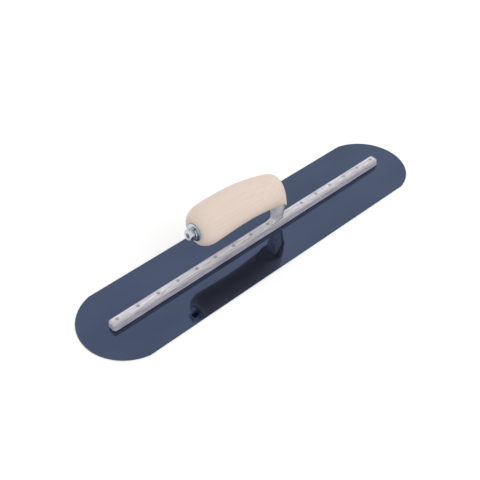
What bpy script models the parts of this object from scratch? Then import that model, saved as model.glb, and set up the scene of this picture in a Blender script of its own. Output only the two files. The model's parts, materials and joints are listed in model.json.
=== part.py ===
"""Steel finishing trowel, modelled as separate pieces.

X runs along the blade, with the shank toward +X and the handle's nut toward -X.
Z is up, and the origin is at the centre of the blade's underside. Lengths are in metres.
"""

import math

import bmesh
import bpy
from mathutils import Matrix, Vector

# Fits
GAP = 0.0003  # clearance between pieces that touch
OVERCUT = 0.0300  # how far a cutter reaches past the faces that it cuts
INSIDE = 0.0001  # how far a hidden face stays inside the body that it joins
SMOOTH_ANGLE = math.radians(30)  # faces that meet at less than this are shaded as one surface
CAST_SMOOTH_ANGLE = math.radians(35)
WOOD_SMOOTH_ANGLE = math.radians(40)

# Blade
BLADE_LENGTH = 0.4572
BLADE_WIDTH = 0.1016
BLADE_THICKNESS = 0.0009
BLADE_END_DEPTH = 0.0409  # how far each curved end reaches past the straight sides
BLADE_END_STEPS = 48

# Bar of the casting
BAR_END_MARGIN = 0.0316  # from the blade's tip to the bar's end
BAR_HEIGHT = 0.0095
BAR_BASE_WIDTH = 0.0124
BAR_SHOULDER_WIDTH = 0.0106
BAR_TOP_WIDTH = 0.0068
BAR_SHOULDER_DROP = 0.0021  # height of the sloped band under the flat top
BAR_END_DRAFT = 0.0005
BAR_CORNER_SHARE = 0.50  # radius of the ends' upright corners beside half the width
BAR_CORNER_STEPS = 8

# Shank of the casting
SHANK_RISE = 0.030  # from the bar's top to the handle's seat
SHANK_REAR_X = 0.0232
SHANK_FRONT_X = 0.0412
SHANK_FRONT_LEAN = 0.0026  # how much further back the front stands at the foot
SHANK_TOP_WIDTH = 0.0140
SHANK_FOOT_WIDTH = 0.0084
SHANK_FILLET = 0.0055  # at the rear of the foot
SHANK_FILLET_STEPS = 7
SHANK_FLARE_HEIGHT = 0.0070  # the foot's sides start to spread this far above the bar's shoulder
SHANK_FLARE_LEVELS = (0.0, 0.12, 0.3)  # shares of that height with a section of their own
SHANK_ROOT_SHARE = 1 / 3  # how deep the shank's form goes into the bar, beside the bar's height
SHANK_STRAIGHT_LEVELS = (0.33, 0.66, 1.0)  # shares of the height above the fillet with a section of their own
SHANK_CORNER = 0.0040
SHANK_CORNER_SHARE = 0.9  # a corner's largest radius beside the half width
SHANK_CORNER_STEPS = 6
SEAT_LENGTH = 0.0043  # level part of the shank's top, from its rear face
SEAT_SLOPE = math.radians(48)  # the rest of the top falls forward at this angle

# Tie rod, of 1/4 in
ROD_RADIUS = 0.003175
ROD_REAR_HEIGHT = 0.0219  # axis above the seat at the handle's rear face
ROD_FRONT_HEIGHT = 0.0150  # axis above the seat at the tongue's rear face
ROD_DEPTH_IN_TONGUE = 0.0066
ROD_CHAMFER_SHARE = 0.2  # beside the rod's radius
ROD_END_RECESS = 0.0003  # the rod's end stops this far inside the nut's outer face
ROD_STEPS = 32

# Tongue of the casting, inside the handle
TONGUE_WALL = 0.0026  # beside the tapped hole
TONGUE_FRONT_WALL = 0.0024
TONGUE_CROWN = 0.0037  # above the tapped hole
TONGUE_CHAMFER = 0.0055
TONGUE_SET_IN = 0.0004  # its rear face stands this far in front of the shank's

# Rivets
RIVET_RADIUS = 0.0012
RIVET_HEAD_RADIUS = 0.0025
RIVET_CROWN = 0.00015
RIVET_CROWN_SHARE = 0.7  # flat part of the peened end beside the rivet's radius
RIVET_STEPS = 20
REAR_RIVETS = 9
FRONT_RIVETS = 6
RIVET_END_MARGIN = 0.0085  # from the bar's end to its outermost rivet
REAR_RIVET_MARGIN = 0.0064  # from the shank's rear face to the nearest rivet
FRONT_RIVET_MARGIN = 0.0289  # from the shank's front face to the nearest rivet

# Handle: heights are above the seat, places are shares of the handle's length from its rear
HANDLE_LENGTH = 0.1288
HANDLE_OVERHANG = 0.0008  # how far the wood's front stands past the shank's
HANDLE_TOP_LINE = (
    (0.0, 0.0451), (0.21, 0.0472), (0.44, 0.0467), (0.675, 0.0415), (0.83, 0.0371), (1.0, 0.0335)
)
HANDLE_UNDER_LINE = (
    (0.0, 0.0006), (0.21, 0.0026), (0.44, 0.0034), (0.675, 0.0002), (0.845, -0.0101), (1.0, -0.0455)
)
HANDLE_HALF_WIDTH = ((0.0, 0.0207), (0.21, 0.0208), (0.44, 0.0201), (0.60, 0.0194), (1.0, 0.0185))
NOSE_FLOOR_RISE = 0.0015  # the top line turns down to this far above the under line's front end
NOSE_LENGTH = 0.0258  # length over which the top line turns down
NOSE_POWER = 2.37
NOSE_TIP_HEIGHT = 0.001  # least height of the wood at the nose's tip
NOSE_PLAN_LENGTH = 0.052  # length over which the sides close in
NOSE_PLAN_POWER = 2.05
NOSE_STEPS = 14
REAR_ROUND_LENGTH = 0.0160
REAR_FACE_SHARE = 0.60  # size of the flat rear face beside the full section
REAR_ROUND_STEPS = 9
MIDDLE_STEPS = 12
SECTION_STEPS = 44

# Fits of the rod and of the nut's stack
BORE_CLEARANCE = 0.0008
SPOT_FACE_DEPTH = 0.0006
SPOT_FACE_CLEARANCE = 0.0003
FLAT_WASHER_RADIUS = 0.0096
FLAT_WASHER_CLEARANCE = 0.0008
FLAT_WASHER_THICKNESS = 0.0017
FLAT_WASHER_STEPS = 40
LOCK_WASHER_BAND = 0.0027  # from its hole to its rim
LOCK_WASHER_CLEARANCE = 0.00035
LOCK_WASHER_THICKNESS = 0.0016
LOCK_WASHER_SLIT = 0.0010
LOCK_WASHER_SLIT_TURN = math.radians(70)
LOCK_WASHER_SLIT_LEAN = math.radians(25)
LOCK_WASHER_STEPS = 36
WASHER_EDGE_SHARE = 0.125  # chamfer beside the thickness
NUT_SIDES = 6
NUT_FLATS = 0.0111
NUT_HEIGHT = 0.0056
NUT_FACE_SHARE = 0.96  # flat part of its faces beside the distance across flats
NUT_CHAMFER = math.radians(30)
NUT_MOUTH = 0.0005  # chamfer of its hole
NUT_TURN = math.radians(21)
NUT_TURNING_SHARE = 1.1  # the turning form's radius beside the hexagon's corner radius
NUT_TURNING_STEPS = 48

# Derived sizes and places
BAR_LENGTH = BLADE_LENGTH - 2 * BAR_END_MARGIN
BAR_BOTTOM_Z = BLADE_THICKNESS + GAP
BAR_TOP_Z = BLADE_THICKNESS + BAR_HEIGHT
BAR_SHOULDER_Z = BAR_TOP_Z - BAR_SHOULDER_DROP
SEAT_Z = BAR_TOP_Z + SHANK_RISE
SEAT_CORNER_X = SHANK_REAR_X + SEAT_LENGTH
HANDLE_FRONT_X = SHANK_FRONT_X + HANDLE_OVERHANG
HANDLE_REAR_X = HANDLE_FRONT_X - HANDLE_LENGTH
ROD_HOLE_RADIUS = ROD_RADIUS + GAP
TONGUE_REAR_X = SHANK_REAR_X + TONGUE_SET_IN
TONGUE_LENGTH = ROD_DEPTH_IN_TONGUE + TONGUE_FRONT_WALL
TONGUE_WIDTH = 2 * (ROD_HOLE_RADIUS + TONGUE_WALL)
TONGUE_RISE = ROD_FRONT_HEIGHT + ROD_HOLE_RADIUS + TONGUE_CROWN
SPOT_FACE_RADIUS = FLAT_WASHER_RADIUS + SPOT_FACE_CLEARANCE
FLAT_WASHER_HOLE_RADIUS = ROD_RADIUS + FLAT_WASHER_CLEARANCE
LOCK_WASHER_HOLE_RADIUS = ROD_RADIUS + LOCK_WASHER_CLEARANCE
LOCK_WASHER_RADIUS = LOCK_WASHER_HOLE_RADIUS + LOCK_WASHER_BAND
ROD_REAR_POINT = Vector((HANDLE_REAR_X, 0.0, SEAT_Z + ROD_REAR_HEIGHT))
ROD_FRONT_POINT = Vector((TONGUE_REAR_X, 0.0, SEAT_Z + ROD_FRONT_HEIGHT))
ROD_AXIS = (ROD_REAR_POINT - ROD_FRONT_POINT).normalized()  # points rearward
ROD_RUN = (ROD_REAR_POINT - ROD_FRONT_POINT).length
FLAT_WASHER_AT = ROD_RUN - SPOT_FACE_DEPTH + GAP
LOCK_WASHER_AT = FLAT_WASHER_AT + FLAT_WASHER_THICKNESS + GAP
NUT_AT = LOCK_WASHER_AT + LOCK_WASHER_THICKNESS + GAP
ROD_END_AT = NUT_AT + NUT_HEIGHT - ROD_END_RECESS


def clear_scene():
    for old in list(bpy.data.objects):
        bpy.data.objects.remove(old, do_unlink=True)


def material(name, colour, metallic, roughness):
    found = bpy.data.materials.get(name)
    if found:
        return found
    made = bpy.data.materials.new(name)
    made.use_nodes = True
    shader = made.node_tree.nodes["Principled BSDF"]
    shader.inputs["Base Color"].default_value = (*colour, 1.0)
    shader.inputs["Metallic"].default_value = metallic
    shader.inputs["Roughness"].default_value = roughness
    return made


def blued_steel():
    return material("blued_steel", (0.065, 0.082, 0.125), 1.0, 0.28)


def cast_aluminium():
    return material("cast_aluminium", (0.60, 0.60, 0.61), 1.0, 0.45)


def rivet_aluminium():
    return material("rivet_aluminium", (0.38, 0.38, 0.39), 1.0, 0.50)


def basswood():
    return material("basswood", (0.75, 0.62, 0.52), 0.0, 0.62)


def zinc_plated_steel():
    return material("zinc_plated_steel", (0.55, 0.62, 0.70), 1.0, 0.30)


def plain_steel():
    return material("plain_steel", (0.28, 0.25, 0.22), 1.0, 0.45)


def new_object(name, bm, surface=None, smooth_angle=None):
    """Turn a bmesh into a scene object, with its faces pointing out."""
    bmesh.ops.recalc_face_normals(bm, faces=bm.faces)
    mesh = bpy.data.meshes.new(name)
    bm.to_mesh(mesh)
    bm.free()
    if smooth_angle is not None:
        mesh.shade_smooth()
        mesh.set_sharp_from_angle(angle=smooth_angle)
    made = bpy.data.objects.new(name, mesh)
    bpy.context.scene.collection.objects.link(made)
    if surface:
        mesh.materials.append(surface)
    return made


def helper(name, bm):
    """An object that only shapes others, and isn't part of the model."""
    made = new_object(name, bm)
    made.hide_render = True
    made.display_type = "WIRE"
    return made


def boolean(target, tool, operation):
    modifier = target.modifiers.new(f"{operation.lower()}_{tool.name}", "BOOLEAN")
    modifier.operation = operation
    modifier.solver = "EXACT"
    modifier.object = tool


def add_ring(bm, points):
    corners = [bm.verts.new(point) for point in points]
    return [bm.edges.new((corner, corners[i - 1])) for i, corner in enumerate(corners)]


def loft(rings):
    """A closed body through rings of equally many points, with flat ends."""
    bm = bmesh.new()
    edges = [add_ring(bm, ring) for ring in rings]
    for lower, upper in zip(edges, edges[1:]):
        bmesh.ops.bridge_loops(bm, edges=lower + upper)
    bmesh.ops.contextual_create(bm, geom=edges[0])
    bmesh.ops.contextual_create(bm, geom=edges[-1])
    return bm


def prism(outline, half_width):
    """A closed body from an outline of (x, z) points, centred on Y = 0."""
    rings = [[Vector((x, y, z)) for x, z in outline] for y in (-half_width, half_width)]
    return loft(rings)


def turned(profile, steps):
    """A closed body turned about Z from (radius, height) points, which run around its section."""
    bm = bmesh.new()
    corners = [bm.verts.new((radius, 0.0, height)) for radius, height in profile]
    edges = [bm.edges.new(pair) for pair in zip(corners, corners[1:])]
    if profile[0][0] > 0.0:
        edges.append(bm.edges.new((corners[-1], corners[0])))
    bmesh.ops.spin(bm, geom=corners + edges, cent=(0, 0, 0), axis=(0, 0, 1), angle=math.tau, steps=steps,
                   use_merge=True)
    bmesh.ops.remove_doubles(bm, verts=bm.verts, dist=1e-6)
    return bm


def along_rod(distance, turn=0.0):
    """Where a turned piece stands on the rod's axis, its Z pointing rearward."""
    place = Matrix.Translation(ROD_FRONT_POINT + ROD_AXIS * distance)
    lean = ROD_AXIS.to_track_quat("Z", "Y").to_matrix().to_4x4()
    return place @ lean @ Matrix.Rotation(turn, 4, "Z")


def smooth_line(stations, at):
    """Height of a smooth curve through (place, height) stations."""
    places = [place for place, _ in stations]
    heights = [height for _, height in stations]
    slopes = []
    for i in range(len(stations)):
        low = max(i - 1, 0)
        high = min(i + 1, len(stations) - 1)
        slopes.append((heights[high] - heights[low]) / (places[high] - places[low]))
    i = 0
    while i < len(stations) - 2 and at > places[i + 1]:
        i += 1
    span = places[i + 1] - places[i]
    t = (at - places[i]) / span
    near = heights[i] + t * t * (3 - 2 * t) * (heights[i + 1] - heights[i])
    return near + span * t * (1 - t) * (slopes[i] * (1 - t) - slopes[i + 1] * t)


def rounded_rectangle(x_rear, x_front, half_width, radius, z, steps):
    """Points of a level rectangle with round corners."""
    points = []
    corners = (x_front, half_width), (x_rear, half_width), (x_rear, -half_width), (x_front, -half_width)
    for quarter, (x, y) in enumerate(corners):
        centre_x = x - math.copysign(radius, x - (x_rear + x_front) / 2)
        centre_y = y - math.copysign(radius, y)
        for i in range(steps + 1):
            angle = (quarter + i / steps) * math.pi / 2
            x_round = centre_x + radius * math.cos(angle)
            points.append(Vector((x_round, centre_y + radius * math.sin(angle), z)))
    return points


def rivet_places():
    """X of every rivet: an even row behind the shank and another in front of it."""
    outermost = BAR_LENGTH / 2 - RIVET_END_MARGIN
    rows = (
        (-outermost, SHANK_REAR_X - REAR_RIVET_MARGIN, REAR_RIVETS),
        (SHANK_FRONT_X + FRONT_RIVET_MARGIN, outermost, FRONT_RIVETS),
    )
    return [first + (last - first) * i / (count - 1) for first, last, count in rows for i in range(count)]


def blade_outline():
    """Straight sides joined by a shallow-cornered arc at each end."""
    half_width = BLADE_WIDTH / 2
    radius = (half_width ** 2 + BLADE_END_DEPTH ** 2) / (2 * BLADE_END_DEPTH)
    centre = BLADE_LENGTH / 2 - radius
    reach = math.acos((radius - BLADE_END_DEPTH) / radius)
    arc = [-reach + 2 * reach * i / BLADE_END_STEPS for i in range(BLADE_END_STEPS + 1)]
    front = [(centre + radius * math.cos(a), radius * math.sin(a)) for a in arc]
    rear = [(-x, -y) for x, y in front]
    return front + rear


def rivet_cutter():
    """Every rivet's hole through the bar and blade, with its countersink, as one cutter."""
    bm = bmesh.new()
    below = -BLADE_THICKNESS
    hole = RIVET_RADIUS + GAP
    mouth = RIVET_HEAD_RADIUS + GAP
    slope = (mouth - hole) / BLADE_THICKNESS
    profile = (
        (0.0, below),
        (mouth - below * slope, below),
        (hole, BLADE_THICKNESS),
        (hole, BAR_TOP_Z + BAR_HEIGHT),
        (0.0, BAR_TOP_Z + BAR_HEIGHT),
    )
    for x in rivet_places():
        one = turned(profile, RIVET_STEPS)
        bmesh.ops.translate(one, verts=one.verts, vec=(x, 0.0, 0.0))
        mesh = bpy.data.meshes.new("rivet_hole")
        one.to_mesh(mesh)
        one.free()
        bm.from_mesh(mesh)
        bpy.data.meshes.remove(mesh)
    return helper("rivet_holes", bm)


def build_blade(holes):
    rings = [[Vector((x, y, z)) for x, y in blade_outline()] for z in (0.0, BLADE_THICKNESS)]
    blade = new_object("blade", loft(rings), blued_steel(), SMOOTH_ANGLE)
    boolean(blade, holes, "DIFFERENCE")
    return blade


def bar_body():
    """The bar: upright drafted sides, a sloped band, and a flat top, with round corners."""
    half_length = BAR_LENGTH / 2
    top_inset = BAR_END_DRAFT + (BAR_SHOULDER_WIDTH - BAR_TOP_WIDTH) / 2
    levels = (
        (BAR_BOTTOM_Z, 0.0, BAR_BASE_WIDTH),
        (BAR_SHOULDER_Z, BAR_END_DRAFT, BAR_SHOULDER_WIDTH),
        (BAR_TOP_Z, top_inset, BAR_TOP_WIDTH),
    )
    rings = []
    for z, inset, width in levels:
        x = half_length - inset
        radius = BAR_CORNER_SHARE * width / 2
        rings.append(rounded_rectangle(-x, x, width / 2, radius, z, BAR_CORNER_STEPS))
    return loft(rings)


def shank_section(height):
    """One level section of the post, at a height above the bar's top."""
    above = max(height, 0.0)
    share = above / SHANK_RISE
    drop = max(SHANK_FILLET - above, 0.0)
    spread = SHANK_FILLET - math.sqrt(SHANK_FILLET ** 2 - drop ** 2)
    x_rear = SHANK_REAR_X - spread
    x_front = SHANK_FRONT_X - SHANK_FRONT_LEAN * (1 - share)
    half_width = (SHANK_FOOT_WIDTH + (SHANK_TOP_WIDTH - SHANK_FOOT_WIDTH) * share) / 2
    low = min(max(1 - (height + BAR_SHOULDER_DROP) / SHANK_FLARE_HEIGHT, 0.0), 1.0)
    flare = (BAR_SHOULDER_WIDTH / 2 - INSIDE - SHANK_FOOT_WIDTH / 2) * (1 - math.sqrt(1 - low ** 2))
    radius = min(SHANK_CORNER, SHANK_CORNER_SHARE * half_width)
    points = rounded_rectangle(
        x_rear, x_front, half_width + flare, radius, BAR_TOP_Z + height, SHANK_CORNER_STEPS
    )
    for point in points:  # the flare fades out towards the front
        point.y *= 1 - flare / (half_width + flare) * (point.x - x_rear) / (x_front - x_rear)
    return points


def shank_body():
    """The post: wider at the top than at its foot, which spreads and curves onto the bar."""
    heights = {share * SHANK_FLARE_HEIGHT - BAR_SHOULDER_DROP for share in SHANK_FLARE_LEVELS}
    heights.add(-SHANK_ROOT_SHARE * BAR_HEIGHT)
    for i in range(SHANK_FILLET_STEPS):
        heights.add(SHANK_FILLET * (1 - math.cos(i * math.pi / 2 / (SHANK_FILLET_STEPS - 1))))
    heights.update(SHANK_FILLET + (SHANK_RISE - SHANK_FILLET) * share for share in SHANK_STRAIGHT_LEVELS)
    bm = loft([shank_section(height) for height in sorted(heights)])
    corner = Vector((SEAT_CORNER_X, 0.0, SEAT_Z - GAP))
    cut_away(bm, corner, Vector((0.0, 0.0, 1.0)))
    cut_away(bm, corner, Vector((math.sin(SEAT_SLOPE), 0.0, math.cos(SEAT_SLOPE))))
    return bm


def cut_away(bm, point, normal):
    """Remove what lies beyond a plane, and close the cut."""
    everything = bm.verts[:] + bm.edges[:] + bm.faces[:]
    cut = bmesh.ops.bisect_plane(bm, geom=everything, plane_co=point, plane_no=normal, clear_outer=True)
    rim = [item for item in cut["geom_cut"] if isinstance(item, bmesh.types.BMEdge)]
    bmesh.ops.contextual_create(bm, geom=rim)


def tongue_outline(clearance):
    """Side outline of the tongue that stands up inside the handle."""
    rear = TONGUE_REAR_X - clearance
    front = TONGUE_REAR_X + TONGUE_LENGTH + clearance
    top = SEAT_Z + TONGUE_RISE + clearance
    chamfer = TONGUE_CHAMFER
    foot = SEAT_Z - SHANK_RISE / 2
    return [(rear, foot), (front, foot), (front, top - chamfer), (front - chamfer, top), (rear, top)]


def rod_cutter(name, radius, start, end):
    length = end - start
    profile = ((0.0, 0.0), (radius, 0.0), (radius, length), (0.0, length))
    bm = turned(profile, ROD_STEPS)
    made = helper(name, bm)
    made.matrix_world = along_rod(start)
    return made


def build_mounting(holes):
    mounting = new_object("mounting", bar_body(), cast_aluminium(), CAST_SMOOTH_ANGLE)
    boolean(mounting, helper("shank_form", shank_body()), "UNION")
    boolean(mounting, helper("tongue_form", prism(tongue_outline(0.0), TONGUE_WIDTH / 2)), "UNION")
    tapped = rod_cutter("tapped_hole", ROD_HOLE_RADIUS, -ROD_DEPTH_IN_TONGUE - GAP, OVERCUT)
    boolean(mounting, tapped, "DIFFERENCE")
    boolean(mounting, holes, "DIFFERENCE")
    return mounting


def build_rivets():
    """Countersunk under the blade and peened flush with the bar's top."""
    profile = (
        (0.0, 0.0),
        (RIVET_HEAD_RADIUS, 0.0),
        (RIVET_RADIUS, BLADE_THICKNESS),
        (RIVET_RADIUS, BAR_TOP_Z),
        (RIVET_CROWN_SHARE * RIVET_RADIUS, BAR_TOP_Z + RIVET_CROWN),
        (0.0, BAR_TOP_Z + RIVET_CROWN),
    )
    first = None
    for number, x in enumerate(rivet_places(), start=1):
        name = f"rivet_{number:02d}"
        if first is None:
            made = first = new_object(name, turned(profile, RIVET_STEPS), rivet_aluminium(), SMOOTH_ANGLE)
        else:
            made = bpy.data.objects.new(name, first.data)
            bpy.context.scene.collection.objects.link(made)
        made.location = (x, 0.0, 0.0)


def handle_section(share, scale=1.0):
    """One upright elliptical ring of the handle, at a share of its length from the rear."""
    x = HANDLE_REAR_X + share * HANDLE_LENGTH
    to_front = HANDLE_FRONT_X - x
    floor = HANDLE_UNDER_LINE[-1][1] + NOSE_FLOOR_RISE
    nose = max(1 - to_front / NOSE_LENGTH, 0.0)
    drop = (1 - nose ** NOSE_POWER) ** (1 / NOSE_POWER)
    top = floor + (smooth_line(HANDLE_TOP_LINE, share) - floor) * drop
    under = min(smooth_line(HANDLE_UNDER_LINE, share), top - NOSE_TIP_HEIGHT)
    plan = max(1 - to_front / NOSE_PLAN_LENGTH, 0.0)
    close_in = (1 - plan ** NOSE_PLAN_POWER) ** (1 / NOSE_PLAN_POWER)
    half_width = smooth_line(HANDLE_HALF_WIDTH, share) * close_in * scale
    half_height = (top - under) / 2 * scale
    middle = SEAT_Z + (top + under) / 2
    points = []
    for i in range(SECTION_STEPS):
        angle = math.tau * i / SECTION_STEPS
        points.append(Vector((x, half_width * math.sin(angle), middle + half_height * math.cos(angle))))
    return points


def handle_body():
    """The grip's full form: a rounded rear, a swept middle and a nose that turns down."""
    rings = []
    rear_share = REAR_ROUND_LENGTH / HANDLE_LENGTH
    nose_share = 1 - NOSE_LENGTH / HANDLE_LENGTH
    for i in range(REAR_ROUND_STEPS):
        angle = math.pi / 2 * i / REAR_ROUND_STEPS
        scale = REAR_FACE_SHARE + (1 - REAR_FACE_SHARE) * math.sin(angle)
        rings.append(handle_section(rear_share * (1 - math.cos(angle)), scale))
    for i in range(MIDDLE_STEPS):
        rings.append(handle_section(rear_share + (nose_share - rear_share) * i / MIDDLE_STEPS))
    for i in range(NOSE_STEPS):
        turn = math.sin(math.pi / 2 * i / NOSE_STEPS)
        rings.append(handle_section(nose_share + (1 - nose_share) * turn))
    return loft(rings)


def seat_cutter():
    """Removes the wood below the shank's level top and its forward slope."""
    corner_x = SEAT_CORNER_X + GAP
    rear_x = HANDLE_REAR_X - OVERCUT
    front_x = HANDLE_FRONT_X + OVERCUT
    below = SEAT_Z + HANDLE_UNDER_LINE[-1][1] - OVERCUT
    outline = [
        (rear_x, below),
        (front_x, below),
        (front_x, SEAT_Z - (front_x - corner_x) * math.tan(SEAT_SLOPE)),
        (corner_x, SEAT_Z),
        (rear_x, SEAT_Z),
    ]
    return helper("seat_form", prism(outline, HANDLE_HALF_WIDTH[0][1] + OVERCUT))


def build_handle():
    handle = new_object("handle", handle_body(), basswood(), WOOD_SMOOTH_ANGLE)
    boolean(handle, seat_cutter(), "DIFFERENCE")
    mortise = helper("mortise_form", prism(tongue_outline(GAP), TONGUE_WIDTH / 2 + GAP))
    boolean(handle, mortise, "DIFFERENCE")
    bore = rod_cutter("bore_form", ROD_RADIUS + BORE_CLEARANCE, -GAP, ROD_RUN + OVERCUT)
    boolean(handle, bore, "DIFFERENCE")
    spot = rod_cutter("spot_face_form", SPOT_FACE_RADIUS, ROD_RUN - SPOT_FACE_DEPTH, ROD_RUN + OVERCUT)
    boolean(handle, spot, "DIFFERENCE")
    return handle


def build_tie_rod():
    chamfer = ROD_CHAMFER_SHARE * ROD_RADIUS
    start = -ROD_DEPTH_IN_TONGUE
    length = ROD_END_AT - start
    profile = (
        (0.0, 0.0),
        (ROD_RADIUS - chamfer, 0.0),
        (ROD_RADIUS, chamfer),
        (ROD_RADIUS, length - chamfer),
        (ROD_RADIUS - chamfer, length),
        (0.0, length),
    )
    rod = new_object("tie_rod", turned(profile, ROD_STEPS), plain_steel(), SMOOTH_ANGLE)
    rod.matrix_world = along_rod(start)
    return rod


def washer_profile(hole_radius, radius, thickness):
    edge = WASHER_EDGE_SHARE * thickness
    return (
        (hole_radius, 0.0),
        (radius - edge, 0.0),
        (radius, edge),
        (radius, thickness - edge),
        (radius - edge, thickness),
        (hole_radius, thickness),
    )


def build_flat_washer():
    profile = washer_profile(FLAT_WASHER_HOLE_RADIUS, FLAT_WASHER_RADIUS, FLAT_WASHER_THICKNESS)
    washer = new_object("flat_washer", turned(profile, FLAT_WASHER_STEPS), zinc_plated_steel(), SMOOTH_ANGLE)
    washer.matrix_world = along_rod(FLAT_WASHER_AT)
    return washer


def build_lock_washer():
    profile = washer_profile(LOCK_WASHER_HOLE_RADIUS, LOCK_WASHER_RADIUS, LOCK_WASHER_THICKNESS)
    washer = new_object("lock_washer", turned(profile, LOCK_WASHER_STEPS), zinc_plated_steel(), SMOOTH_ANGLE)
    washer.matrix_world = along_rod(LOCK_WASHER_AT, LOCK_WASHER_SLIT_TURN)
    bm = bmesh.new()
    bmesh.ops.create_cube(bm, size=1.0)
    bmesh.ops.scale(bm, verts=bm.verts, vec=(LOCK_WASHER_RADIUS, LOCK_WASHER_SLIT, 3 * LOCK_WASHER_THICKNESS))
    middle = (LOCK_WASHER_RADIUS + LOCK_WASHER_HOLE_RADIUS) / 2
    bmesh.ops.rotate(bm, verts=bm.verts, matrix=Matrix.Rotation(LOCK_WASHER_SLIT_LEAN, 3, "X"))
    bmesh.ops.translate(bm, verts=bm.verts, vec=(middle, 0.0, LOCK_WASHER_THICKNESS / 2))
    slit = helper("slit_form", bm)
    slit.matrix_world = washer.matrix_world
    boolean(washer, slit, "DIFFERENCE")
    return washer


def build_nut():
    """A hex nut whose corners are turned down at both faces."""
    corner_radius = NUT_FLATS / math.sqrt(3)
    hexagon = []
    for i in range(NUT_SIDES):
        angle = math.tau * i / NUT_SIDES
        hexagon.append((corner_radius * math.cos(angle), corner_radius * math.sin(angle)))
    bm = loft([[Vector((x, y, z)) for x, y in hexagon] for z in (0.0, NUT_HEIGHT)])
    nut = new_object("handle_nut", bm, zinc_plated_steel(), SMOOTH_ANGLE)
    nut.matrix_world = along_rod(NUT_AT, NUT_TURN)
    flat_radius = NUT_FACE_SHARE * NUT_FLATS / 2
    outside = NUT_TURNING_SHARE * corner_radius
    rise = (outside - flat_radius) * math.tan(NUT_CHAMFER)
    profile = (
        (0.0, 0.0),
        (flat_radius, 0.0),
        (outside, rise),
        (outside, NUT_HEIGHT - rise),
        (flat_radius, NUT_HEIGHT),
        (0.0, NUT_HEIGHT),
    )
    corners = helper("nut_turning_form", turned(profile, NUT_TURNING_STEPS))
    corners.matrix_world = nut.matrix_world
    boolean(nut, corners, "INTERSECT")
    wide = ROD_HOLE_RADIUS + NUT_MOUTH + GAP
    profile = (
        (0.0, -GAP),
        (wide, -GAP),
        (ROD_HOLE_RADIUS, NUT_MOUTH),
        (ROD_HOLE_RADIUS, NUT_HEIGHT - NUT_MOUTH),
        (wide, NUT_HEIGHT + GAP),
        (0.0, NUT_HEIGHT + GAP),
    )
    threads = helper("nut_hole_form", turned(profile, ROD_STEPS))
    threads.matrix_world = nut.matrix_world
    boolean(nut, threads, "DIFFERENCE")
    return nut


def main():
    clear_scene()
    holes = rivet_cutter()
    build_blade(holes)
    build_mounting(holes)
    build_rivets()
    build_handle()
    build_tie_rod()
    build_flat_washer()
    build_lock_washer()
    build_nut()


main()
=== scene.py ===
"""Looks of a steel finishing trowel: its visible pieces, their materials, and the stage.

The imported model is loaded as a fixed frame. Each operator models one piece in that frame and
gives it the finish of the real one. Lengths are in metres unless a name says otherwise.
"""

import json
import math

import bmesh
import bpy
from mathutils import Matrix, Vector


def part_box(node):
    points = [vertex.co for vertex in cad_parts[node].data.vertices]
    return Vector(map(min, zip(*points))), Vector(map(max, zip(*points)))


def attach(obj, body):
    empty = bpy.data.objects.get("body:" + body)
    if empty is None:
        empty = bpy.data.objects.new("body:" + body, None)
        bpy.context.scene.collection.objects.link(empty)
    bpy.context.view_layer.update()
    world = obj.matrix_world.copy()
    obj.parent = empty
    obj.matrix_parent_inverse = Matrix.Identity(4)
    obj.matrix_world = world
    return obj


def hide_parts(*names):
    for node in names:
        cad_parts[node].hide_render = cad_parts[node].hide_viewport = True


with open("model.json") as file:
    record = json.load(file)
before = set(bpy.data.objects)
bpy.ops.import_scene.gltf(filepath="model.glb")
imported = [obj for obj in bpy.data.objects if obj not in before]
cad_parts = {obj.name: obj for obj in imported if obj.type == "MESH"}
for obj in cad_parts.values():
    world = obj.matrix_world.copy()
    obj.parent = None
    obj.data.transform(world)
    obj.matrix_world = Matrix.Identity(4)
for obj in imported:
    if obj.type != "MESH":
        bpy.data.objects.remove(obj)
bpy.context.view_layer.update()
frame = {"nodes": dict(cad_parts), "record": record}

bl_info = {
    "name": "Finishing Trowel",
    "version": (1, 0, 0),
    "blender": (4, 5, 0),
    "location": "3D View > Sidebar > Trowel",
    "description": "Builds a round-end steel finishing trowel with its finishes and stage",
    "category": "Object",
}

MM = 0.001
BLADE_LOW, BLADE_HIGH = (Vector(corner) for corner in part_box("blade"))
RIVETS = sorted(name for name in frame["nodes"] if name.startswith("rivet_"))
NUT_JOINT = next(joint for joint in frame["record"]["behaviour"]["joints"] if joint["name"] == "nut_turn")
ROD_AXIS = Vector(NUT_JOINT["axis"]).normalized()
NUT_SEAT = Vector(NUT_JOINT["pos_m"])  # the nut's inner face, on the rod's axis
BAR_TOP_Z = max(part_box(rivet)[1][2] for rivet in RIVETS)
BAR_SHOULDER_Z = BAR_TOP_Z - 2.1 * MM  # where the bar's sides turn in towards its top
CASTING_CORNERS = [corner.co for corner in frame["nodes"]["mounting"].data.vertices]
SHANK_FRONT_X = max(corner.x for corner in CASTING_CORNERS if corner.z > BAR_TOP_Z + 1 * MM)
MERGE_DISTANCE = 1e-6  # corners closer than this are one corner
SHARP_EDGE = math.radians(60)  # edges that turn more than this get a bevel
OVERCUT = 1 * MM  # how far a cutter reaches past the faces that it cuts
FRONT_SHADE_BAND = (6.8 * MM, 3.8 * MM)  # behind the shank's front, where painted shade darkens the shank's front corner
COUNTERSINK_PLAY = 0.3 * MM  # how much wider a rivet's countersink is than its head
COUNTERSINK_TAPER = 1.2 * MM  # how much a countersink narrows through the blade
RIVET_SHANK_SHARE = 0.6  # a rivet's shank beside its countersunk head
RIVET_EASING = 0.15 * MM  # the bevel of a rivet's peened end
WASHER_EASING_SHARE = 0.125  # the bevel of a washer's edges beside its thickness
SLIT_TURN = math.radians(-70)  # where the lock washer's slit stands
SLIT_LEAN = math.radians(25)  # how far the slit leans from the rod's axis
ROD_END_SHARE = 0.92  # the flat of the rod's end beside its radius
ROD_END_SLOPE = math.radians(45)
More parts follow.
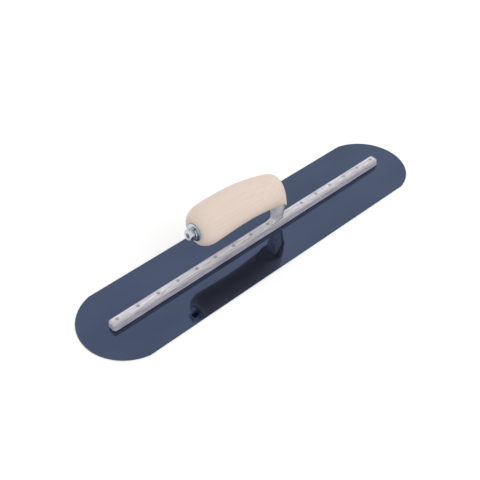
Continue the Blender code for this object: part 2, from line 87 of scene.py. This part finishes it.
NUT_FACE_SHARE = 0.48  # the radius of the nut's flat face beside its width across flats
NUT_FACE_SLOPE = math.radians(30)
NUT_TURN = math.radians(51)  # where the nut's first corner stands
THREAD_STEPS = 40  # facets of one turn of a thread


def linear(hex_colour):
    """An sRGB hex colour as linear red, green and blue."""
    channels = []
    for i in (0, 2, 4):
        value = int(hex_colour[i:i + 2], 16) / 255
        channels.append(value / 12.92 if value <= 0.04045 else ((value + 0.055) / 1.055) ** 2.4)
    return channels


def colour_property(name, hex_colour, description):
    return bpy.props.FloatVectorProperty(
        name=name, description=description, default=linear(hex_colour),
        subtype="COLOR", size=3, min=0.0, max=1.0
    )


def length_property(name, value, description):
    return bpy.props.FloatProperty(
        name=name, description=description, default=value, unit="LENGTH", precision=5
    )


class TrowelSizes(bpy.types.PropertyGroup):
    """Sizes of the fine surface that the frame doesn't hold."""

    blade_end_depth: length_property("Blade end depth", 0.0409, "How far a round end reaches past the sides")
    blade_edge: length_property("Blade edge", 0.00018, "Easing of the blade's sheared edge")
    cast_grain: length_property("Cast grain", 0.00055, "Softness of the casting's edges and fillets")
    sanded_grain: length_property("Sanded grain", 0.0006, "Softness of the grip's sanded edges")
    rivet_play: length_property("Rivet play", 0.00003, "What is left of a rivet's hole after peening")
    lock_washer_slit: length_property("Lock washer slit", 0.0010, "Width of the lock washer's slit")
    nut_flats: length_property("Nut across flats", 0.0111, "Distance across the nut's flats")
    thread_pitch: length_property("Thread pitch", 0.0254 / 20, "Advance of the thread for each turn")
    thread_depth: length_property("Thread depth", 0.00078, "Radial depth of the thread")
    thread_play: length_property("Thread play", 0.0001, "How much wider than the rod the nut's thread is")


class TrowelColours(bpy.types.PropertyGroup):
    """Colours of the real finishes."""

    blued_steel: colour_property("Blued steel", "4C576F", "Polished spring steel, heat blued")
    blued_dark: colour_property("Blued steel, deep", "465168", "Deeper tone in the bluing")
    aluminium: colour_property("Aluminium", "EAE8ED", "Cast aluminium, ground bright")
    aluminium_dull: colour_property("Aluminium, dull", "D2CFD7", "Cast skin between the ground marks")
    rivet: colour_property("Rivet", "B0AFB3", "Peened rivet ends")
    rivet_dull: colour_property("Rivet, dull", "97969B", "Dents in the rivet ends")
    wood: colour_property("Basswood", "D5C4B9", "Sanded basswood")
    wood_grain: colour_property("Basswood grain", "D0BEB1", "Late wood lines of the basswood")
    zinc: colour_property("Zinc plating", "C8D3DE", "Blue-white zinc plating")
    zinc_dull: colour_property("Zinc plating, dull", "98A5B3", "Handled patches of the plating")
    rod_steel: colour_property("Rod steel", "A3968F", "Plain threaded rod")
    rod_oxide: colour_property("Rod steel, oxidised", "6B5F59", "Thin brown oxide on the rod")
    floor: colour_property("Floor", "F7F7F7", "Plain pale floor")


def sizes():
    return bpy.context.scene.trowel_sizes


def colours():
    return bpy.context.scene.trowel_colours


# Modelling helpers


def start_fresh():
    """Object mode, with nothing selected."""
    if bpy.context.mode != "OBJECT":
        bpy.ops.object.mode_set(mode="OBJECT")
    bpy.ops.object.select_all(action="DESELECT")


def take(piece):
    """Make a piece the only selected and active one."""
    start_fresh()
    piece.select_set(True)
    bpy.context.view_layer.objects.active = piece


def named(name):
    """The piece that the last operator added, under its own name."""
    piece = bpy.context.active_object
    piece.name = name
    piece.data.name = name
    return piece


def settle(piece):
    """Put the piece's place into its mesh, so that its object stands at the origin."""
    take(piece)
    bpy.ops.object.transform_apply(location=True, rotation=True, scale=True)


def edit(piece, mode="FACE"):
    take(piece)
    bpy.ops.object.mode_set(mode="EDIT")
    bpy.ops.mesh.select_mode(type=mode)
    bpy.ops.mesh.select_all(action="DESELECT")


def pick(piece, test, kind="faces"):
    """In edit mode, select the faces or edges that pass a test, and nothing else."""
    bpy.ops.mesh.select_all(action="DESELECT")
    bm = bmesh.from_edit_mesh(piece.data)
    for item in getattr(bm, kind):
        if test(item):
            item.select_set(True)
    bm.select_flush_mode()
    bmesh.update_edit_mesh(piece.data)


def recalculate(piece):
    """Merge what touches, and turn every face outward."""
    edit(piece)
    bpy.ops.mesh.select_all(action="SELECT")
    bpy.ops.mesh.remove_doubles(threshold=MERGE_DISTANCE)
    bpy.ops.mesh.normals_make_consistent(inside=False)
    bpy.ops.object.mode_set(mode="OBJECT")


def cut(piece, tool, operation="DIFFERENCE"):
    """Cut the piece with a tool, which is used up."""
    take(piece)
    modifier = piece.modifiers.new("cut", "BOOLEAN")
    modifier.operation = operation
    modifier.solver = "EXACT"
    modifier.object = tool
    bpy.ops.object.modifier_apply(modifier=modifier.name)
    bpy.data.objects.remove(tool, do_unlink=True)


def smooth(piece, angle):
    """Shade as one surface where faces meet at less than so many degrees."""
    take(piece)
    bpy.ops.object.shade_smooth_by_angle(angle=math.radians(angle))


def finish_piece(piece, material, slot, body, *nodes):
    """Give a finished piece its material and its place in the frame."""
    piece.data.materials.clear()
    piece.data.materials.append(material)
    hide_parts(*nodes)
    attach(piece, body)


def copy_of_node(node, name):
    """A merged copy of a frame node's mesh, as a new piece."""
    source = frame["nodes"][node]
    take(source)
    bpy.ops.object.duplicate()
    piece = named(name)
    piece.data.materials.clear()
    edit(piece)
    bpy.ops.mesh.select_all(action="SELECT")
    bpy.ops.mesh.remove_doubles(threshold=MERGE_DISTANCE)
    bpy.ops.object.mode_set(mode="OBJECT")
    return piece


def soften(piece, grain, passes):
    """Rebuild the skin at an even grain and relax it, which rounds every edge and valley."""
    take(piece)
    remesh = piece.modifiers.new("skin", "REMESH")
    remesh.mode = "VOXEL"
    remesh.voxel_size = grain
    remesh.use_smooth_shade = True
    bpy.ops.object.modifier_apply(modifier=remesh.name)
    relax = piece.modifiers.new("relax", "SMOOTH")
    relax.factor = 0.5
    relax.iterations = passes
    bpy.ops.object.modifier_apply(modifier=relax.name)


def on_rod(piece, distance, turn=0.0):
    """Stand a piece modelled along Z on the rod's axis, at a distance behind the nut's seat."""
    take(piece)
    lean = ROD_AXIS.to_track_quat("Z", "Y").to_matrix().to_4x4()
    place = Matrix.Translation(NUT_SEAT + ROD_AXIS * distance)
    piece.matrix_world = place @ lean @ Matrix.Rotation(turn, 4, "Z")
    settle(piece)


def span_on_rod(node):
    """Where a node starts and ends along the rod's axis, from the nut's seat."""
    corners = frame["nodes"][node].data.vertices
    places = [(corner.co - NUT_SEAT).dot(ROD_AXIS) for corner in corners]
    return min(places), max(places)


def radii_on_rod(node):
    """The smallest and largest distance of a node's corners from the rod's axis."""
    offsets = [corner.co - NUT_SEAT for corner in frame["nodes"][node].data.vertices]
    distances = [(offset - ROD_AXIS * offset.dot(ROD_AXIS)).length for offset in offsets]
    return min(distances), max(distances)


def thread_form(name, radius, start, length):
    """A threaded cylinder along Z: a saw-edged line, screwed one turn about Z and cut square.

    Its ridges keep step with a thread that starts at Z = 0, whatever its own start.
    """
    pitch = sizes().thread_pitch
    first = math.floor(start / pitch) - 2
    last = math.ceil((start + length) / pitch) + 1
    height = (last - first) * pitch
    root = radius - sizes().thread_depth
    start_fresh()
    bpy.ops.mesh.primitive_grid_add(
        x_subdivisions=1, y_subdivisions=2 * (last - first), size=1,
        location=(root, 0, first * pitch + height / 2), rotation=(math.pi / 2, 0, 0)
    )
    form = named(name)
    bpy.ops.transform.resize(value=(2 * root, 1, height), orient_type="GLOBAL")
    settle(form)
    edit(form, "VERT")
    pick(form, lambda corner: corner.co.x < root, "verts")
    bpy.ops.mesh.delete(type="VERT")
    bpy.ops.mesh.select_all(action="SELECT")
    bpy.ops.transform.translate(value=(-root, 0, 0))
    pick(form, lambda corner: round(corner.co.z / pitch * 2) % 2 == 1, "verts")
    bpy.ops.transform.translate(value=(radius - root, 0, 0))
    take(form)
    screw = form.modifiers.new("turn", "SCREW")
    screw.axis = "Z"
    screw.angle = math.tau
    screw.screw_offset = pitch
    screw.steps = THREAD_STEPS
    screw.render_steps = THREAD_STEPS
    screw.use_merge_vertices = True
    screw.merge_threshold = MERGE_DISTANCE
    bpy.ops.object.modifier_apply(modifier=screw.name)
    for height, side in ((start, -1), (start + length, 1)):
        edit(form)
        bpy.ops.mesh.select_all(action="SELECT")
        bpy.ops.mesh.remove_doubles(threshold=MERGE_DISTANCE)
        bpy.ops.mesh.bisect(plane_co=(0, 0, height), plane_no=(0, 0, side), use_fill=True, clear_outer=True)
    recalculate(form)
    return form


def turn_corners(piece, face_radius, height, side, slope, reach):
    """Turn down the corners of one end of a piece, outside a circle on its end face."""
    over = face_radius * math.tan(slope) / 2
    start_fresh()
    bpy.ops.mesh.primitive_cone_add(
        vertices=96, radius1=face_radius + reach / math.tan(slope), radius2=face_radius / 2,
        depth=reach + over, location=(0, 0, height - side * (reach - over) / 2),
        rotation=(0 if side > 0 else math.pi, 0, 0)
    )
    cone = bpy.context.active_object
    settle(cone)
    cut(piece, cone, "INTERSECT")


# Materials


def new_material(name):
    made = bpy.data.materials.new(name)
    made.use_nodes = True
    tree = made.node_tree
    return made, tree, tree.nodes["Principled BSDF"]


def add_node(tree, kind, settings=None, links=None):
    """Add a node, set its sockets and attributes, and link its inputs."""
    made = tree.nodes.new(kind)
    for name, value in (settings or {}).items():
        if isinstance(name, int) or name in made.inputs:
            made.inputs[name].default_value = value
        else:
            setattr(made, name, value)
    for name, source in (links or {}).items():
        tree.links.new(source, made.inputs[name])
    return made


def ramp(tree, source, stops):
    """Colours along a value, from (place, colour) stops."""
    made = add_node(tree, "ShaderNodeValToRGB", links={"Fac": source})
    elements = made.color_ramp.elements
    while len(elements) < len(stops):
        elements.new(1.0)
    for element, (place, colour) in zip(elements, stops):
        element.position = place
        element.color = (*colour, 1.0)
    return made.outputs["Color"]


def grey(value):
    return (value, value, value)


def stretched(tree, per_mm):
    """Object coordinates scaled to so many pattern cells for each millimetre along X, Y and Z."""
    place = add_node(tree, "ShaderNodeTexCoord")
    scale = tuple(cells / MM for cells in per_mm)
    mapping = add_node(tree, "ShaderNodeMapping", {"Scale": scale}, {"Vector": place.outputs["Object"]})
    return mapping.outputs["Vector"]


def noise(tree, per_mm, detail=2.0, roughness=0.5):
    vector = stretched(tree, per_mm)
    settings = {"Scale": 1.0, "Detail": detail, "Roughness": roughness}
    made = add_node(tree, "ShaderNodeTexNoise", settings, {"Vector": vector})
    return made.outputs["Fac"]


def along(tree, axis, low, high):
    """How far a point is along an axis, from 0 at one place to 1 at another."""
    place = add_node(tree, "ShaderNodeTexCoord")
    axes = add_node(tree, "ShaderNodeSeparateXYZ", links={"Vector": place.outputs["Object"]})
    limits = {"From Min": low, "From Max": high}
    made = add_node(tree, "ShaderNodeMapRange", limits, {"Value": axes.outputs[axis]})
    return made.outputs["Result"]


def times(tree, *factors):
    """The product of colours."""
    product = factors[0]
    for other in factors[1:]:
        made = add_node(tree, "ShaderNodeVectorMath", {"operation": "MULTIPLY"}, {0: product, 1: other})
        product = made.outputs["Vector"]
    return product


def bump(tree, height, strength, distance_mm):
    settings = {"Strength": strength, "Distance": distance_mm * MM}
    made = add_node(tree, "ShaderNodeBump", settings, {"Height": height})
    return made.outputs["Normal"]


def polished_blued_steel():
    """Spring steel, polished along its length and heat blued: a deep blue-grey mirror."""
    made, tree, shader = new_material("polished_blued_spring_steel")
    shader.inputs["Metallic"].default_value = 1.0
    clouds = noise(tree, (0.008, 0.02, 0.02), detail=3.0)
    tone = ramp(tree, clouds, ((0.35, colours().blued_dark), (0.65, colours().blued_steel)))
    tree.links.new(tone, shader.inputs["Base Color"])
    marks = noise(tree, (0.02, 2.2, 2.2), detail=3.0)
    gloss = ramp(tree, marks, ((0.3, grey(0.035)), (0.7, grey(0.075))))
    tree.links.new(gloss, shader.inputs["Roughness"])
    tree.links.new(bump(tree, marks, 0.03, 0.01), shader.inputs["Normal"])
    return made


def ground_cast_aluminium():
    """Sand-cast aluminium: a pale satin top, ground on a belt, over sides that keep a greyer cast skin;
    painted shade darkens the sides and the shank's front corner, and painted light brightens the top, the
    shank and a strip at the foot of the sides.
    """
    made, tree, shader = new_material("ground_sand_cast_aluminium")
    shader.inputs["Metallic"].default_value = 0.35
    skin = noise(tree, (0.10, 0.6, 0.6), detail=4.0, roughness=0.6)
    tone = ramp(tree, skin, ((0.36, colours().aluminium_dull), (0.56, colours().aluminium)))
    reach = BAR_TOP_Z + 3 * MM
    # Partly a ground top over a greyer cast skin, partly painted light and shade along Z: the bar's sides
    # darker towards their shoulder, a lighter bluish strip at their foot, and the top and the shank lighter.
    ground_and_painted_shade = ramp(tree, along(tree, "Z", 0.0, reach), (
        (1.2 * MM / reach, (0.97, 0.95, 1.0)),
        (3.0 * MM / reach, (0.86, 0.84, 0.91)),
        ((BAR_SHOULDER_Z - 1.2 * MM) / reach, (0.76, 0.74, 0.79)),
        ((BAR_SHOULDER_Z + 0.3 * MM) / reach, grey(0.72)),
        ((BAR_TOP_Z - 0.6 * MM) / reach, grey(0.70)),
        ((BAR_TOP_Z - 0.1 * MM) / reach, grey(0.90)),
        (1.0, grey(0.96)),
    ))
    # Painted shade: the shank's front corner, above the bar's top, is darkened to 0.45 of its tone where it
    # turns away from the light.
    on_shank = along(tree, "Z", BAR_TOP_Z, BAR_TOP_Z + 1 * MM)
    at_front = along(tree, "X", SHANK_FRONT_X - FRONT_SHADE_BAND[0], SHANK_FRONT_X - FRONT_SHADE_BAND[1])
    front_shade_mask = add_node(tree, "ShaderNodeMath", {"operation": "MULTIPLY"}, {0: on_shank, 1: at_front})
    painted_front_shade = ramp(tree, front_shade_mask.outputs["Value"], ((0.0, grey(1.0)), (1.0, grey(0.45))))
    streaks = ramp(tree, noise(tree, (0.035, 0.9, 0.9), detail=3.0), ((0.40, grey(0.76)), (0.58, grey(1.0))))
    tree.links.new(times(tree, tone, ground_and_painted_shade, painted_front_shade, streaks), shader.inputs["Base Color"])
    marks = noise(tree, (1.1, 0.12, 0.12), detail=4.0, roughness=0.6)
    gloss = ramp(tree, marks, ((0.3, grey(0.45)), (0.7, grey(0.65))))
    tree.links.new(gloss, shader.inputs["Roughness"])
    tree.links.new(bump(tree, marks, 0.25, 0.12), shader.inputs["Normal"])
    return made


def peened_aluminium():
    """Rivet ends hammered and ground flush: a slightly darker, duller grey than the casting round them."""
    made, tree, shader = new_material("peened_aluminium")
    shader.inputs["Metallic"].default_value = 0.5
    dents = noise(tree, (0.9, 0.9, 0.9), detail=2.0)
    tone = ramp(tree, dents, ((0.3, colours().rivet_dull), (0.7, colours().rivet)))
    tree.links.new(tone, shader.inputs["Base Color"])
    shader.inputs["Roughness"].default_value = 0.5
    tree.links.new(bump(tree, dents, 0.3, 0.08), shader.inputs["Normal"])
    return made


def raw_basswood():
    """Basswood, turned and sanded but not varnished: pale and matt, with faint lines along the grip."""
    made, tree, shader = new_material("sanded_basswood")
    lines = noise(tree, (0.010, 0.40, 0.40), detail=4.0, roughness=0.6)
    tone = ramp(tree, lines, ((0.30, colours().wood_grain), (0.60, colours().wood)))
    tree.links.new(tone, shader.inputs["Base Color"])
    pores = noise(tree, (0.35, 3.0, 3.0), detail=2.0)
    dry = ramp(tree, pores, ((0.3, grey(0.55)), (0.7, grey(0.70))))
    tree.links.new(dry, shader.inputs["Roughness"])
    tree.links.new(bump(tree, pores, 0.12, 0.05), shader.inputs["Normal"])
    return made


def zinc_plated_steel():
    """Steel with bright blue-white zinc plating: light, cool and slightly clouded where handled."""
    found = bpy.data.materials.get("zinc_plated_steel")
    if found:
        return found
    made, tree, shader = new_material("zinc_plated_steel")
    shader.inputs["Metallic"].default_value = 0.3
    clouds = noise(tree, (0.3, 0.3, 0.3), detail=3.0)
    tone = ramp(tree, clouds, ((0.35, colours().zinc_dull), (0.6, colours().zinc)))
    tree.links.new(tone, shader.inputs["Base Color"])
    gloss = ramp(tree, clouds, ((0.35, grey(0.60)), (0.65, grey(0.50))))
    tree.links.new(gloss, shader.inputs["Roughness"])
    return made


def plain_rod_steel():
    """Plain threaded rod: unplated steel with a thin brown oxide on the sawn end."""
    made, tree, shader = new_material("plain_rod_steel")
    shader.inputs["Metallic"].default_value = 0.5
    stain = noise(tree, (0.6, 0.6, 0.6), detail=3.0)
    tone = ramp(tree, stain, ((0.35, colours().rod_oxide), (0.65, colours().rod_steel)))
    tree.links.new(tone, shader.inputs["Base Color"])
    shader.inputs["Roughness"].default_value = 0.48
    tree.links.new(bump(tree, stain, 0.3, 0.08), shader.inputs["Normal"])
    return made


# Pieces


class TROWEL_OT_blade(bpy.types.Operator):
    """Model the thin round-ended blade"""

    bl_idname = "trowel.blade"
    bl_label = "Blade"

    def execute(self, context):
        length, width, thickness = BLADE_HIGH - BLADE_LOW
        depth = sizes().blade_end_depth
        radius = ((width / 2) ** 2 + depth ** 2) / (2 * depth)
        start_fresh()
        bpy.ops.mesh.primitive_cylinder_add(
            vertices=160, radius=radius, depth=thickness, location=(0, 0, BLADE_LOW.z + thickness / 2)
        )
        blade = named("blade_sheet")
        settle(blade)
        edit(blade)
        for side in (-1, 1):
            bpy.ops.mesh.select_all(action="SELECT")
            bpy.ops.mesh.bisect(
                plane_co=(0, side * width / 2, 0), plane_no=(0, side, 0), use_fill=True, clear_outer=True
            )
        for end in (-1, 1):
            edit(blade, "VERT")
            pick(blade, lambda corner: corner.co.x * end > 0, "verts")
            bpy.ops.transform.translate(value=(end * (length / 2 - radius), 0, 0))
        bpy.ops.mesh.select_mode(type="EDGE")
        bpy.ops.mesh.select_all(action="DESELECT")
        bpy.ops.mesh.edges_select_sharp(sharpness=SHARP_EDGE)
        bpy.ops.mesh.bevel(offset=sizes().blade_edge, segments=2)
        cut(blade, self.countersinks(thickness))
        smooth(blade, 10)
        finish_piece(blade, polished_blued_steel(), "blued_steel", "tool", "blade")
        return {"FINISHED"}

    def countersinks(self, thickness):
        """One tool with a cone for every rivet's head."""
        cones = []
        for node in RIVETS:
            low, high = (Vector(corner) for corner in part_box(node))
            mouth = (high.x - low.x) / 2 + COUNTERSINK_PLAY
            start_fresh()
            bpy.ops.mesh.primitive_cone_add(
                vertices=24, radius1=mouth + COUNTERSINK_TAPER, radius2=mouth - 2 * COUNTERSINK_TAPER,
                depth=3 * thickness, location=((low.x + high.x) / 2, 0, BLADE_LOW.z + thickness / 2)
            )
            cones.append(bpy.context.active_object)
        start_fresh()
        for cone in cones:
            cone.select_set(True)
        bpy.context.view_layer.objects.active = cones[0]
        bpy.ops.object.join()
        return bpy.context.active_object


class TROWEL_OT_casting(bpy.types.Operator):
    """Model the bar and shank, one casting with soft edges and fillets"""

    bl_idname = "trowel.casting"
    bl_label = "Casting"

    def execute(self, context):
        casting = copy_of_node("mounting", "casting")
        soften(casting, sizes().cast_grain, 4)
        finish_piece(casting, ground_cast_aluminium(), "cast_aluminium", "tool", "mounting")
        return {"FINISHED"}


class TROWEL_OT_rivets(bpy.types.Operator):
    """Model the rivets: countersunk under the blade, and peened tight and flush on the bar"""

    bl_idname = "trowel.rivets"
    bl_label = "Rivets"

    def execute(self, context):
        finish = peened_aluminium()
        for node in RIVETS:
            low, high = (Vector(corner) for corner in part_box(node))
            rivet = self.rivet(node.replace("rivet", "peened_rivet"), low, high)
            finish_piece(rivet, finish, "rivet_aluminium", "tool", node)
        return {"FINISHED"}

    def rivet(self, name, low, high):
        """A shank whose lower rim is drawn out into the countersunk head."""
        thickness = BLADE_HIGH.z - BLADE_LOW.z
        head = (high.x - low.x) / 2
        shank = RIVET_SHANK_SHARE * head - sizes().rivet_play
        start_fresh()
        bpy.ops.mesh.primitive_cylinder_add(
            vertices=40, radius=shank, depth=high.z - low.z - thickness,
            location=((low.x + high.x) / 2, 0, (high.z + low.z + thickness) / 2)
        )
        rivet = named(name)
        settle(rivet)
        edit(rivet)
        pick(rivet, lambda face: face.normal.z < -0.9)
        bpy.ops.mesh.extrude_region_move(TRANSFORM_OT_translate={"value": (0, 0, -thickness)})
        bpy.ops.transform.resize(value=(head / shank, head / shank, 1))
        pick(rivet, lambda face: face.normal.z > 0.9)
        bpy.ops.mesh.bevel(offset=RIVET_EASING, segments=3)
        bpy.ops.object.mode_set(mode="OBJECT")
        smooth(rivet, 40)
        return rivet


class TROWEL_OT_grip(bpy.types.Operator):
    """Model the wooden grip, sanded smooth all over"""

    bl_idname = "trowel.grip"
    bl_label = "Grip"

    def execute(self, context):
        grip = copy_of_node("handle", "grip")
        soften(grip, sizes().sanded_grain, 3)
        finish_piece(grip, raw_basswood(), "basswood", "tool", "handle")
        return {"FINISHED"}


class TROWEL_OT_washers(bpy.types.Operator):
    """Model the flat washer and the split lock washer"""

    bl_idname = "trowel.washers"
    bl_label = "Washers"

    def execute(self, context):
        finish = zinc_plated_steel()
        flat = self.ring("flat_ring", "flat_washer", 72)
        finish_piece(flat, finish, "zinc_plated_steel", "tool", "flat_washer")
        split = self.ring("split_ring", "lock_washer", 60)
        finish_piece(split, finish, "zinc_plated_steel", "washer", "lock_washer")
        return {"FINISHED"}

    def ring(self, name, node, steps):
        """A disc whose two faces are inset and bridged to make the hole, with eased edges."""
        near, far = span_on_rod(node)
        hole, radius = radii_on_rod(node)
        thickness = far - near
        start_fresh()
        bpy.ops.mesh.primitive_cylinder_add(
            vertices=steps, radius=radius, depth=thickness, location=(0, 0, thickness / 2)
        )
        ring = named(name)
        settle(ring)
        edit(ring)
        pick(ring, lambda face: abs(face.normal.z) > 0.9)
        bpy.ops.mesh.inset(thickness=radius - hole, use_individual=True)
        bpy.ops.mesh.bridge_edge_loops()
        bpy.ops.mesh.select_mode(type="EDGE")
        bpy.ops.mesh.select_all(action="DESELECT")
        bpy.ops.mesh.edges_select_sharp(sharpness=SHARP_EDGE)
        bpy.ops.mesh.bevel(offset=WASHER_EASING_SHARE * thickness, segments=2)
        bpy.ops.object.mode_set(mode="OBJECT")
        if node == "lock_washer":
            self.slit(ring, radius, hole, thickness)
        smooth(ring, 40)
        on_rod(ring, near)
        return ring

    def slit(self, ring, radius, hole, thickness):
        """Cut the leaning slit of the lock washer."""
        start_fresh()
        bpy.ops.mesh.primitive_cube_add(
            size=1, location=((radius + hole) / 2, 0, thickness / 2), rotation=(SLIT_LEAN, 0, 0),
            scale=(radius, sizes().lock_washer_slit, 4 * thickness)
        )
        slit = bpy.context.active_object
        settle(slit)
        bpy.ops.transform.rotate(value=SLIT_TURN, orient_axis="Z", center_override=(0, 0, 0))
        settle(slit)
        cut(ring, slit)


class TROWEL_OT_rod(bpy.types.Operator):
    """Model the tie rod, with its thread"""

    bl_idname = "trowel.rod"
    bl_label = "Tie rod"

    def execute(self, context):
        start, end = span_on_rod("tie_rod")
        radius = radii_on_rod("tie_rod")[1]
        rod = thread_form("threaded_rod", radius, start, end - start)
        for height, side in ((start, -1), (end, 1)):
            turn_corners(rod, ROD_END_SHARE * radius, height, side, ROD_END_SLOPE, end - start + OVERCUT)
        smooth(rod, 40)
        on_rod(rod, 0.0)
        finish_piece(rod, plain_rod_steel(), "plain_steel", "tool", "tie_rod")
        return {"FINISHED"}


class TROWEL_OT_nut(bpy.types.Operator):
    """Model the hex nut, with turned corners and a threaded hole"""

    bl_idname = "trowel.nut"
    bl_label = "Nut"

    def execute(self, context):
        start, end = span_on_rod("handle_nut")
        flats = sizes().nut_flats
        start_fresh()
        bpy.ops.mesh.primitive_cylinder_add(
            vertices=6, radius=flats / math.sqrt(3), depth=end - start, location=(0, 0, (start + end) / 2)
        )
        nut = named("hex_nut")
        settle(nut)
        for height, side in ((start, -1), (end, 1)):
            turn_corners(nut, NUT_FACE_SHARE * flats, height, side, NUT_FACE_SLOPE, end - start + OVERCUT)
        radius = radii_on_rod("tie_rod")[1] + sizes().thread_play
        cut(nut, thread_form("tapped_hole", radius, start - OVERCUT, end - start + 2 * OVERCUT))
        smooth(nut, 25)
        on_rod(nut, 0.0, NUT_TURN)
        finish_piece(nut, zinc_plated_steel(), "zinc_plated_steel", "nut", "handle_nut")
        return {"FINISHED"}


class TROWEL_OT_stage(bpy.types.Operator):
    """Set the floor, the soft studio light and the camera"""

    bl_idname = "trowel.stage"
    bl_label = "Stage"

    def execute(self, context):
        self.floor()
        self.sky()
        self.lamp("soft_key", (0.6, -0.7, 1.3), 1.6, 6.0)
        self.camera()
        return {"FINISHED"}

    def floor(self):
        start_fresh()
        bpy.ops.mesh.primitive_plane_add(size=8, location=(0, 0, BLADE_LOW.z - 0.1 * MM))
        floor = named("floor")
        settle(floor)
        made, tree, shader = new_material("pale_matt_floor")
        shader.inputs["Base Color"].default_value = (*colours().floor, 1.0)
        shader.inputs["Roughness"].default_value = 0.9
        floor.data.materials.append(made)

    def sky(self):
        world = bpy.data.worlds.new("studio")
        world.use_nodes = True
        world.node_tree.nodes["Background"].inputs["Color"].default_value = (1.0, 1.0, 1.0, 1.0)
        world.node_tree.nodes["Background"].inputs["Strength"].default_value = 1.0
        bpy.context.scene.world = world
        bpy.context.scene.view_settings.view_transform = "Standard"

    def lamp(self, name, place, size, power):
        start_fresh()
        bpy.ops.object.light_add(type="AREA", location=place)
        lamp = bpy.context.active_object
        lamp.name = name
        lamp.rotation_euler = Vector(place).to_track_quat("Z", "Y").to_euler()
        lamp.data.size = size
        lamp.data.energy = power
        lamp.visible_glossy = False

    def camera(self):
        """A portrait lens at arm's length, looking down on the tool from behind its near side."""
        azimuth, elevation, roll = math.radians(-43.18), math.radians(43.39), math.radians(0.63)
        distance = 0.9089
        aim = Vector((-0.01667, 0.00868, BLADE_HIGH.z))
        turn = Matrix.Rotation(azimuth, 4, "Z") @ Matrix.Rotation(math.pi / 2 - elevation, 4, "X")
        turn = turn @ Matrix.Rotation(roll, 4, "Z")
        bpy.ops.object.camera_add()
        camera = bpy.context.active_object
        camera.matrix_world = Matrix.Translation(aim) @ turn @ Matrix.Translation((0, 0, distance))
        camera.data.sensor_width = 36.0
        camera.data.lens = 62.22
        camera.data.clip_start = 0.01
        bpy.context.scene.camera = camera


class TROWEL_PT_panel(bpy.types.Panel):
    """Lists the trowel's operators"""

    bl_idname = "TROWEL_PT_panel"
    bl_label = "Finishing Trowel"
    bl_space_type = "VIEW_3D"
    bl_region_type = "UI"
    bl_category = "Trowel"

    def draw(self, context):
        for operator in OPERATORS:
            self.layout.operator(operator.bl_idname)
        for group in (context.scene.trowel_sizes, context.scene.trowel_colours):
            box = self.layout.box()
            for name in group.__annotations__:
                box.prop(group, name)


OPERATORS = (
    TROWEL_OT_blade,
    TROWEL_OT_casting,
    TROWEL_OT_rivets,
    TROWEL_OT_grip,
    TROWEL_OT_washers,
    TROWEL_OT_rod,
    TROWEL_OT_nut,
    TROWEL_OT_stage,
)
CLASSES = (TrowelSizes, TrowelColours, *OPERATORS, TROWEL_PT_panel)


def register():
    for each in CLASSES:
        bpy.utils.register_class(each)
    bpy.types.Scene.trowel_sizes = bpy.props.PointerProperty(type=TrowelSizes)
    bpy.types.Scene.trowel_colours = bpy.props.PointerProperty(type=TrowelColours)


def unregister():
    del bpy.types.Scene.trowel_colours
    del bpy.types.Scene.trowel_sizes
    for each in reversed(CLASSES):
        bpy.utils.unregister_class(each)


def main():
    register()
    for operator in OPERATORS:
        group, name = operator.bl_idname.split(".")
        getattr(getattr(bpy.ops, group), name)()


if __name__ == "__main__":
    main()
